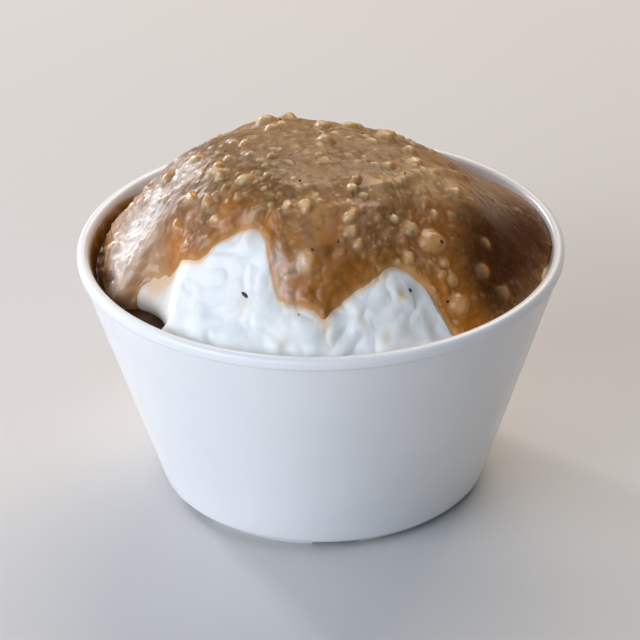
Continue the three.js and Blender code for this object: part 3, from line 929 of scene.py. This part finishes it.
gravyTones = {  # where the gravy is cloudy, thin or deep, and where light and shade are painted on it: x, y, size, share
    "milky": [
        (2, -10, 18, 1.0), (-16, 8, 18, 0.8), (22, 6, 14, 1.0), (-20, -18, 10, 0.6), (27, -10, 8, 1.0),
    ],
    "amber": [
        (-38.5, -20.3, 2.6, 0.5), (-41, -19.5, 2.2, 0.3), (-32.3, -24, 4, 1.0), (-33, -28, 3, 0.9),
        (-37.3, -29, 3, 0.9), (28, -33, 5, 0.9), (33, -38, 5, 0.8), (23, -28, 4, 0.7),
        (27, -22, 5, 0.5), (-4, -43, 6, 0.6), (2, -34, 6, 0.45), (-20, -27, 4, 0.6),
        (30, 0, 5, 0.5), (-11.5, -31.5, 2.5, 0.9), (7, -40, 4, 0.5),
    ],
    # dark: deep gravy on the heap's right, partly painted shade there, and painted shade to the right of
    # the tongue's big lump and beside it
    "dark": [
        (40, -17, 8, 1.0), (36, -28, 7, 0.9), (46, -4, 9, 1.0), (33, -20, 5, 0.3), (49, 9, 8, 0.75),
        (1.5, -37.0, 1.4, 0.7), (0.6, -44.6, 2.2, 0.5), (4, -36, 4, 0.3), (5, -42, 4, 0.3),
    ],
    # thin gravy film, and a painted pale lilac sheen of the windows' reflection on the left flank, along
    # the tongue's left edge and on the left of its big lump
    "filmAndReflection": [
        (-42.5, -14, 4, 0.7), (-43, -12, 6, 0.8), (-46, -15, 4, 0.7), (-39, -13.5, 5, 0.5),
        (-36.5, -22.5, 2.5, 0.6), (-4.4, -38.3, 1.3, 1.0), (-9.8, -36.5, 1.5, 0.8),
        (-8.6, -40, 1.7, 0.8), (-6.6, -42.6, 1.5, 0.7),
    ],
    "brown": [(-22, -12, 14, 1.0), (-26, 4, 10, 0.8), (-12, -24, 7, 0.6), (-35, -8, 8, 0.9)],
    "smooth": [(0, -38, 8, 0.8), (-33, -23, 6, 0.2)],
    "calm": [(46, 14, 12, 1.0), (40, -8, 8, 0.6), (38, 30, 12, 0.8), (36, 20, 9, 0.6)],
    # tan: painted light, lifting the lobe by the pocket, the tongue's top and the top right where the
    # lamps leave them too dark
    "tan": [(-38.8, -19.8, 3, 1.0), (27, -11, 8, 0.9), (-1, -31, 6, 0.4), (14, -22, 6, 0.3)],
}


# the placed lumps, and small ones scattered by the golden angle at shares sqrt(i / count)
# of the way out
def allLumps():
    i = np.arange(smallLumps["count"])
    azimuth = i * smallLumps["turn"] + smallLumps["stray"] * (draw(i, 3) - 0.5)
    share = np.sqrt((i + 0.5) / smallLumps["count"])
    distance = share * (throughPoints(gravyOutline, azimuth) - smallLumps["clearOfEdge"])
    size = blend(smallLumps["least"], smallLumps["most"], draw(i, 4))
    scattered = np.stack([azimuth, distance, size], axis=-1)
    return np.concatenate([np.array(mainLumps, float), scattered])


# each lump is a dome, longer one way than the other, set in the gravy's surface; the points
# are pulled about first, so that none is round. A painted shadow ring round each lump is
# stronger on its right-hand lee side, and the lump itself gets a painted orange glow there,
# as if light came out of it
def lumpRelief(points):
    height, pale, shadowRing, leeGlow = np.zeros((4, *points.shape[:-1]))
    bent = pulled(points, *lumpForm["pull"])
    leastStretch, moreStretch = lumpForm["stretch"]
    shadowRingAt, shadowRingWidth = lumpForm["shadowRing"]
    for index, (azimuth, out, size) in enumerate(allLumps()):
        x, y = atPolar(out, azimuth)
        stretch = leastStretch + moreStretch * draw(index, 1)
        turn = 2 * np.pi * draw(index, 2)
        away = bent - [x, y, heapTop(x, y)]
        long = (away[..., 0] * math.cos(turn) + away[..., 1] * math.sin(turn)) / stretch
        wide = (away[..., 1] * math.cos(turn) - away[..., 0] * math.sin(turn)) * stretch
        distance = np.sqrt(long ** 2 + wide ** 2 + away[..., 2] ** 2) / (lumpForm["reach"] * size)
        dome = np.clip(1 - distance ** 2, 0, 1)
        height = np.maximum(height, lumpForm["rise"] * size * smoothStep(dome, 0.0, 1.0))
        least = lumpForm["leastPale"][index >= len(mainLumps)]
        pale = np.maximum(pale, blend(least, 1, draw(index, 5)) * np.exp(-2 * distance ** 2))
        lee = smoothStep((away[..., 0] + 0.5 * away[..., 1]) / size, *lumpForm["lee"])
        ring = np.exp(-((distance - shadowRingAt) / shadowRingWidth) ** 2)
        shadowRing = np.maximum(shadowRing, blend(lumpForm["leastShadowRing"], 1, lee) * ring)
        leeGlow = np.maximum(leeGlow, lee * smoothStep(dome, *lumpForm["leeGlow"]))
    return height, pale, shadowRing, leeGlow


# low ridges: exp(-(distance from a line)^2 / width^2), fading out past the line's ends
def ridgeRelief(points):
    height = np.zeros(points.shape[:-1])
    bent = pulled(points, *reliefForm["ridgePull"])
    for fromX, fromY, toX, toY, width, rise in spoonRidges:
        length = math.hypot(toX - fromX, toY - fromY)
        alongX, alongY = (toX - fromX) / length, (toY - fromY) / length
        awayX, awayY = bent[..., 0] - fromX, bent[..., 1] - fromY
        along = awayX * alongX + awayY * alongY
        across = awayY * alongX - awayX * alongY
        past = np.maximum(np.maximum(-along, along - length), 0)
        height = np.maximum(height, rise * np.exp(-(across ** 2 + past ** 2) / width ** 2))
    return height


# how strongly each tone shows at each point: its patches added up, at most 1
def toneFields(x, y):
    return {
        label: np.minimum(sum(share * patch(x, y, *place) for *place, share in places), 1)
        for label, places in gravyTones.items()
    }


# the gravy's relief: broad noise and ridges, the highest of lumps, crumbs and grains, and
# fine noise, each flatter where the tones say so and fading out towards the gravy's edge;
# with it, how pale the surface is, and where it gets a painted glow, painted shadow rings and
# painted shade in its hollows
def gravySurface(base, tones, fromEdge):
    dark, filmAndReflection = tones["dark"], tones["filmAndReflection"]
    lumpHeight, lumpPale, lumpShadowRing, lumpLeeGlow = lumpRelief(base)
    ridges = ridgeRelief(base)
    bent = pulled(base, *reliefForm["pull"])
    crumbHeight, crumbPale = grains(bent, *reliefForm["crumbs"])
    grainHeight, grainPale = grains(bent, *reliefForm["grains"])
    lively = 1 - np.maximum.reduce([0.85 * dark, 0.7 * tones["smooth"], 0.8 * tones["calm"]])
    crowded = (0.4 + 0.6 * smoothStep(noise(base, reliefForm["drifts"], 57), -0.25, 0.25)) * lively
    broad = noises(base, reliefForm["broad"]) * (1 - 0.5 * dark) * (1 - 0.85 * tones["calm"])
    fine = noises(base, reliefForm["fine"]) * (1 + 2 * filmAndReflection)
    fine = fine + reliefForm["filmHeight"] * filmAndReflection * noise(base, reliefForm["filmSize"], 58)
    crumbRise = reliefForm["crumbRise"] * crumbHeight * (0.5 + 0.5 * crumbPale) * crowded
    grainRise = reliefForm["grainRise"] * grainHeight * (0.3 + 0.7 * grainPale) * lively * (1 + filmAndReflection)
    flatter = 1 - np.maximum(0.45 * dark, 0.3 * tones["amber"])
    raised = np.maximum(np.maximum(lumpHeight * flatter, crumbRise), grainRise)
    relief = smoothStep(fromEdge, 0.2, 3.0) * (broad + ridges)
    relief = relief + raised * smoothStep(fromEdge, 0.0, 1.2)
    relief = relief + fine * lively * smoothStep(fromEdge, 0.0, 0.9)

    crumbs = crumbPale * crowded * smoothStep(fromEdge, 0, 1.5)
    lump = np.maximum(lumpPale * (1 - 0.25 * tones["amber"]), crumbs)
    lump = np.maximum(lump, 0.25 * np.minimum(ridges, 1)) * (1 - 0.6 * dark)
    # thin film with the painted window sheen, less where the gravy is amber
    thinFilmAndReflection = filmAndReflection * (1 - 0.7 * tones["amber"])
    looks = {
        "lump": lump,
        "shadowRing": lumpShadowRing,
        "leeGlow": lumpLeeGlow,
        "grain": grainPale * lively * (1 - 0.5 * tones["milky"]),
        "filmAndReflection": thinFilmAndReflection,
        "dull": np.maximum.reduce([tones["milky"], dark, tones["calm"]]),
        "wet": np.maximum(lump, 0.6 * thinFilmAndReflection),
        # painted shade in the hollows of the broad relief
        "hollowShade": np.clip(-broad, 0, 1),
    }
    return relief, looks


# shares of the way out at even steps along the profile of the heap, from the edge inwards
def evenShares():
    reach, azimuth = gravyDetail["profile"]
    steps = np.linspace(0, 1, 300)
    heights = heapTop(*atPolar(steps * reach, azimuth))
    along = np.concatenate([[0], np.cumsum(np.hypot(np.diff(steps * reach), np.diff(heights)))])
    return np.interp(np.linspace(along[-1], 0, gravyDetail["topRows"]), along, steps)[1:]


# rings out under the gravy along the potato, up its edge, and in over its top to the crown;
# the top is pushed out along the surface by its relief, follows the potato's fluff near a
# bare edge, dips at its lip, and is kept off the potato by a smooth maximum
def makeGravy():
    azimuth = np.concatenate([np.arange(*stretch) for stretch in gravyDetail["stretches"]])
    reach = gravyReach(azimuth)
    held = againstWall(azimuth)
    edge = gravyForm["edge"]
    sunk = gravyForm["sunk"]

    underRadius = np.array(gravyDetail["underShares"])[:, None] * reach
    x, y = atPolar(underRadius, azimuth)
    lift = 0.15  # the underside is worked out a little low, and its fluff where the potato is
    underHeight = np.maximum(potatoTop(x, y), moatForm["level"] - 0.6) - lift
    underBase = bulged(np.stack([x, y, underHeight], axis=-1), azimuth)
    underFluff = mashFluff(underBase + [0, 0, lift]) * bareness(underRadius, reach) * (1 - held)
    underNormal = upNormal(potatoTop, underBase[..., 0], underBase[..., 1])
    under = underBase + underNormal * (underFluff - 2 * sunk)[..., None]

    turn = np.radians(np.linspace(90, 0, gravyDetail["edgeRows"]))
    edgeRadius = np.stack([reach - edge * (1 - math.sin(t)) for t in turn])
    topRadius = np.concatenate([edgeRadius, evenShares()[:, None] * (reach - edge)])
    x, y = atPolar(topRadius, azimuth)
    fromBare, fromBareInSpace = fromBareEdge(x, y)
    base = np.stack([x, y, gravyTop(topRadius, azimuth, reach, fromBare)], axis=-1)
    base = bulged(base, azimuth, gravyDetail["clear"] * smoothStep(reach - topRadius, 0.0, 0.8))
    normal = upNormal(heapTop, x, y)

    fromOwn = np.hypot(reach - topRadius, base[..., 2] - base[0, :, 2])
    fromEdge = np.minimum(fromOwn, fromBareInSpace)
    fromLoose = np.where(held < 0.5, fromEdge, fromBareInSpace)
    tones = toneFields(x, y)
    relief, looks = gravySurface(base, tones, fromEdge)
    relief = np.where(held > 0.5, relief * smoothStep(fromEdge, 0.0, 2.0), relief)

    bare = bareness(topRadius, reach) * (1 - held)
    potatoPlace = bulged(np.stack([x, y, potatoTop(x, y)], axis=-1), azimuth)
    followed = mashFluff(potatoPlace) * bare
    lip = 1 - smoothStep(fromLoose, 0, 1.0)
    turned = normal + (upNormal(potatoTop, x, y) - normal) * bare[..., None]
    turned = turned / np.linalg.norm(turned, axis=-1, keepdims=True)
    top = base + turned * (relief + followed - sunk * lip)[..., None]
    skin = gravyDetail["thinnest"] * smoothStep(fromEdge, 0, 1.6)
    least = potatoPlace[..., 2] + followed + skin - 2 * sunk * lip
    above = top[..., 2] - least
    top[..., 2] = least + (above + np.sqrt(above ** 2 + gravyDetail["softness"])) / 2

    grid = np.concatenate([under, top])
    limit = innerWall(grid[..., 2]) - gravyDetail["wallGap"]
    radius = np.hypot(grid[..., 0], grid[..., 1])
    grid[..., :2] *= np.minimum(1, limit / np.maximum(radius, 1e-6))[..., None]
    attributes = {label: tones[label] for label in ("milky", "dark", "brown", "tan")}
    attributes.update(looks)
    attributes["amber"] = np.minimum(tones["amber"] + np.exp(-fromLoose / 1.4), 1)
    attributes["rim"] = np.exp(-fromLoose / 0.5)
    piece = addSkins("lumpyGravy", grid[None], shownOnly(attributes, under))
    return piece, base, top, normal


gravyFinish = {
    "body": "#93602f",
    "layers": [  # colour, what it follows, its most, and the stretch over which it comes in
        ("#7d4d22", "depths", 1.0, 0.35, 0.65),
        ("#8e6b41", "milky"),
        ("#654925", "brown", 0.9),
        ("#b96e1e", "amber", 0.85),
        # painted light on patches that the lamps leave too dark
        ("#e0b47c", "tan", 0.85),
        # painted sheen of the window reflection, over thin film
        ("#d3c0a8", "filmAndReflection", 0.6),
        ("#5c3a1a", "clouds", 0.5, 0.45, 0.62),
        ("#c59b68", "mottle", 0.25, 0.4, 0.7),
        ("#c9a26c", "coarsePulp", 0.3),
        ("#cda873", "finePulp", 0.2),
        # deep gravy, partly painted shade
        ("#3a1703", "dark", 0.9),
        # painted shade in the hollows
        ("#6d4017", "hollowShade", 0.5),
        ("#cba470", "grain", 0.75),
        ("#a8640a", "amber", 0.6),
        # painted shadow ring round the lumps, stronger on their lee sides
        ("#8a4a14", "shadowRing", 0.45),
        ("#ecd09c", "lump", 0.8),
        # painted orange glow on the lumps' lee sides
        ("#c08028", "leeGlow", 0.75),
        # more painted pale lilac sheen of the window reflection
        ("#d8cdc4", "filmAndReflection", 0.5),
        ("#deb078", "rim", 0.8),
    ],
    "grains": {"depths": (7.0, 4.0), "clouds": (3.2, 2.0), "mottle": (1.3, 3.0), "skin": (0.8, 3.0)},
    "pulps": {"coarsePulp": 2.6, "finePulp": 1.2},
    "levels": {  # shader's input: attribute that it follows, values where that is 0 and 1
        "Roughness": ("dull", 0.28, 0.52),
        "Specular IOR Level": ("dark", 0.5, 0.08),
        "Coat Weight": ("wet", 0.05, 0.65),
        "skin": ("filmAndReflection", 0.08, 0.6),
    },
    "bumps": {  # pattern: how strong and, in metres, how high
        "finePulp": {"Strength": 0.15, "Distance": 0.00025},
        "coarsePulp": {"Strength": 0.25, "Distance": 0.0005},
    },
    "skinHeight": 0.0003,
    "shader": {
        "IOR": 1.42,
        "Subsurface Weight": 0.4,
        "Subsurface Radius": (1.0, 0.55, 0.2),
        "Subsurface Scale": 0.0016,
        "Coat Roughness": 0.13,
    },
}


# Gravy: flour-thickened stock, brown and cloudy, with bits of onion and crumb that it coats.
# It is wet, so it has a sharp gloss over a soft body, and where it is thin or a pale lump
# lies near the surface, light comes through it orange. Its colours also paint light and shade:
# a pale sheen of the windows, glows and shadow rings on the lumps, shade in hollows and on
# the right, and lighter patches where the lamps leave it too dark.
def gravyMaterial():
    material, tree = newMaterial("wetBrownGravy")
    patterns = {label: grainOf(tree, *grain) for label, grain in gravyFinish["grains"].items()}
    patterns.update({label: pulpOf(tree, size) for label, size in gravyFinish["pulps"].items()})
    levels = {}
    for key, (label, atNone, atFull) in gravyFinish["levels"].items():
        settings = {"To Min": atNone, "To Max": atFull}
        levels[key] = addNode(tree, "ShaderNodeMapRange", settings, {"Value": label}).outputs["Result"]
    sources = {"Strength": levels.pop("skin"), "Height": patterns["skin"]}
    skin = addNode(tree, "ShaderNodeBump", {"Distance": gravyFinish["skinHeight"]}, sources)
    for label, settings in gravyFinish["bumps"].items():
        sources = {"Height": patterns[label], "Normal": skin.outputs["Normal"]}
        skin = addNode(tree, "ShaderNodeBump", settings, sources)
    levels["Base Color"] = layered(tree, gravyFinish["body"], gravyFinish["layers"], patterns)
    levels["Normal"] = skin.outputs["Normal"]
    finishMaterial(tree, gravyFinish["shader"], levels)
    return material


gravy, gravyBase, gravySkin, gravyNormal = makeGravy()
gravy.data.materials.append(gravyMaterial())
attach(gravy, "root")
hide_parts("gravy")
print("gravy made:", len(gravy.data.polygons), "faces")


poolDetail = {
    "from": -258.0,
    "to": -128.0,
    "stations": 220,
    "columns": 26,
    "inner": 40.0,
    "climb": 0.7,
    "climbWidth": 1.1,
    "ripple": (0.06, 1.1, 1.7),  # height, pace along and pace across
    "wallGap": 0.02,
    "below": 0.4,  # how far its underside is under the moat's floor
    "undercut": 0.6,  # how far its underside is inwards of its top
    "endAt": (46.0, 1.2),  # radius and depth of the point that it shrinks to at its ends
}


# sections along the moat: each goes out over the surface, which climbs where it wets the
# wall as exp(-distance/width), and back below it; the sections shrink to a point at the ends
def makePool():
    azimuth = np.linspace(poolDetail["from"], poolDetail["to"], poolDetail["stations"])[:, None]
    level = moatForm["level"]
    outer = innerWall(level) - poolDetail["wallGap"]
    radius = blend(poolDetail["inner"], outer, np.linspace(0, 1, poolDetail["columns"]) ** 0.5)[None]
    climb = poolDetail["climb"] * np.exp(-(outer - radius) / poolDetail["climbWidth"])
    rippleHeight, along, across = poolDetail["ripple"]
    ripple = rippleHeight * np.sin(azimuth * along) * np.sin(radius * across)
    top = level + climb + ripple
    topRadius = np.minimum(radius, innerWall(top) - poolDetail["wallGap"])
    floorRadius = np.broadcast_to(radius[:, ::-1] - poolDetail["undercut"], top.shape)
    floorHeight = np.full_like(top, moatForm["floor"] - poolDetail["below"])
    endRadius, endDepth = poolDetail["endAt"]
    endHeight = level - endDepth
    close = np.ones_like(azimuth)
    close[0] = close[-1] = 0
    allRadius = endRadius + (np.concatenate([topRadius, floorRadius], axis=1) - endRadius) * close
    allHeight = endHeight + (np.concatenate([top, floorHeight], axis=1) - endHeight) * close
    return addSkins("pooledGravy", ringGrid(allRadius, allHeight, azimuth)[None])


# Thin gravy that has run down beside the heap: clear brown stock with no flour in it, dark
# where it is deep and mirror-smooth on top.
def poolMaterial():
    material, tree = newMaterial("thinStock")
    tint = overlay(tree, "#43220a", "#6a3d14", grainOf(tree, 5.0, 2.0), 1.0, 0.3, 0.7)
    finishMaterial(
        tree,
        {
            "Roughness": 0.06,
            "IOR": 1.36,
            "Subsurface Weight": 0.3,
            "Subsurface Radius": (1.0, 0.4, 0.12),
            "Subsurface Scale": 0.002,
        },
        {"Base Color": tint},
    )
    return material


pool = makePool()
pool.data.materials.append(poolMaterial())
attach(pool, "root")
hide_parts("gravy_pool")
print("pool made:", len(pool.data.polygons), "faces")


# ground pepper and scorched bits: x, y, length, width; those on the gravy, then the potato
gravySpecks = [
    (25.4, -28.2, 1.0, 0.7), (-1.7, -36.7, 0.9, 0.5), (27.0, -36.4, 0.8, 0.6), (3.7, -35.5, 0.8, 0.4),
    (29.9, -23.7, 0.6, 0.4), (18.4, -15.4, 0.5, 0.4), (-4.3, -22.6, 0.6, 0.4), (-20.5, -9.0, 0.5, 0.4),
    (9.5, 4.5, 0.6, 0.4), (-9.0, 14.0, 0.6, 0.5), (14.0, 25.0, 0.6, 0.5), (-26.0, 20.0, 0.7, 0.4),
]
potatoSpecks = [(-16.4, -38.8, 2.1, 0.85), (19.2, -37.0, 1.0, 0.7), (-5.0, -43.6, 0.4, 0.3)]
speckForm = {"rings": 7, "around": 10, "halfThick": 0.22, "proud": 0.08}


# small ellipsoids laid in the surface under them, each turned its own way
def makeSpecks(name, places, base, skin, normal):
    flat = base.reshape(-1, 3)
    theta = np.linspace(0, np.pi, speckForm["rings"])[:, None]
    phi = np.linspace(0, 2 * np.pi, speckForm["around"], endpoint=False)[None]
    x, y = np.sin(theta) * np.cos(phi), np.sin(theta) * np.sin(phi)
    ball = np.stack(np.broadcast_arrays(x, y, np.cos(theta)), axis=-1)
    grids = []
    for index, (x, y, long, wide) in enumerate(places):
        nearest = np.argmin((flat[:, 0] - x) ** 2 + (flat[:, 1] - y) ** 2)
        at = skin.reshape(-1, 3)[nearest]
        up = normal.reshape(-1, 3)[nearest]
        turn = 2 * np.pi * draw(index, 7)
        side = np.cross(up, [math.cos(turn), math.sin(turn), 0.2])
        side = side / np.linalg.norm(side)
        other = np.cross(up, side)
        axes = np.stack([side * long / 2, other * wide / 2, up * speckForm["halfThick"]])
        grids.append(at + up * speckForm["proud"] + ball @ axes)
    return addSkins(name, np.array(grids))


# Cracked black pepper: nearly black, rough and dull, wetted by what it lies in.
def pepperMaterial():
    material, tree = newMaterial("crackedPepper")
    tint = overlay(tree, "#1d130c", "#3a2a20", grainOf(tree, 0.4, 2.0), 1.0, 0.4, 0.7)
    finishMaterial(tree, {"Roughness": 0.45}, {"Base Color": tint})
    return material


pepper = pepperMaterial()
for label, places, base, skin, normal, slot in (
    ("pepperOnGravy", gravySpecks, gravyBase, gravySkin, gravyNormal, "gravy"),
    ("pepperOnPotato", potatoSpecks, potatoBase, potatoSkin, potatoNormal, "potato"),
):
    specks = makeSpecks(label, places, base, skin, normal)
    specks.data.materials.append(pepper)
    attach(specks, "root")
print("specks made")


floorSettings = {"half": 2.5, "colour": "#c9c7c4"}


# a square of matt paper under the bowl
def makeFloor():
    mesh = bpy.data.meshes.new("floor")
    half = floorSettings["half"]
    corners = [(-half, -half, 0), (half, -half, 0), (half, half, 0), (-half, half, 0)]
    mesh.from_pydata(corners, [], [(0, 1, 2, 3)])
    floor = bpy.data.objects.new("floor", mesh)
    bpy.context.scene.collection.objects.link(floor)
    material, tree = newMaterial("mattPaper")
    finishMaterial(tree, {"Base Color": colour(floorSettings["colour"]), "Roughness": 0.8}, {})
    mesh.materials.append(material)
    return floor


makeFloor()

lights = {  # soft boxes: azimuth, elevation, width, height, power, colour
    "window": (-150, 20, 0.9, 0.7, 13.6, "#e9effb"),
    "frontFill": (-115, 25, 0.9, 0.7, 6.8, "#dcebff"),
    "leftWindow": (140, 11, 1.2, 0.7, 11.5, "#eaeaf8"),
    "glint": (130, 22, 0.22, 0.22, 6, "#ffffff"),
    "backLight": (72, 46, 1.0, 0.85, 13, "#ffecd6"),
    "overhead": (-30, 62, 0.9, 0.7, 3.9, "#dfeaf8"),
}
lightSettings = {"distance": 1.4, "aimHeight": 0.06}  # metres


# a soft box at one distance from the point that it faces, in the direction of its azimuth and
# elevation
def makeLight(label, azimuth, elevation, width, height, power, tint):
    data = bpy.data.lights.new(label, "AREA")
    data.shape = "RECTANGLE"
    data.size, data.size_y = width, height
    data.energy = power
    data.color = colour(tint)[:3]
    lamp = bpy.data.objects.new(label, data)
    bpy.context.scene.collection.objects.link(lamp)
    azimuth, elevation = math.radians(azimuth), math.radians(elevation)
    level = lightSettings["distance"] * math.cos(elevation)
    lamp.location = (
        level * math.cos(azimuth),
        level * math.sin(azimuth),
        lightSettings["aimHeight"] + lightSettings["distance"] * math.sin(elevation),
    )
    lamp.rotation_euler = (math.pi / 2 - elevation, 0, azimuth + math.pi / 2)


for label, light in lights.items():
    makeLight(label, *light)

world = bpy.data.worlds.new("studio")
world.use_nodes = True
world.node_tree.nodes["Background"].inputs["Color"].default_value = colour("#e9edf2")
world.node_tree.nodes["Background"].inputs["Strength"].default_value = 0.02
bpy.context.scene.world = world

cameraSettings = {
    "place": (0.0, -0.66779, 0.4053),
    "tilt": (61.2364, 0.7927, -0.3979),
    "lens": 187.48,
    "sensor": 36,
    "nearest": 0.02,
}
cameraData = bpy.data.cameras.new("camera")
cameraData.lens = cameraSettings["lens"]
cameraData.sensor_width = cameraSettings["sensor"]
cameraData.clip_start = cameraSettings["nearest"]
camera = bpy.data.objects.new("camera", cameraData)
camera.location = cameraSettings["place"]
camera.rotation_euler = [math.radians(angle) for angle in cameraSettings["tilt"]]
bpy.context.scene.collection.objects.link(camera)
bpy.context.scene.camera = camera
bpy.context.scene.view_settings.view_transform = "Standard"
print("stage set")
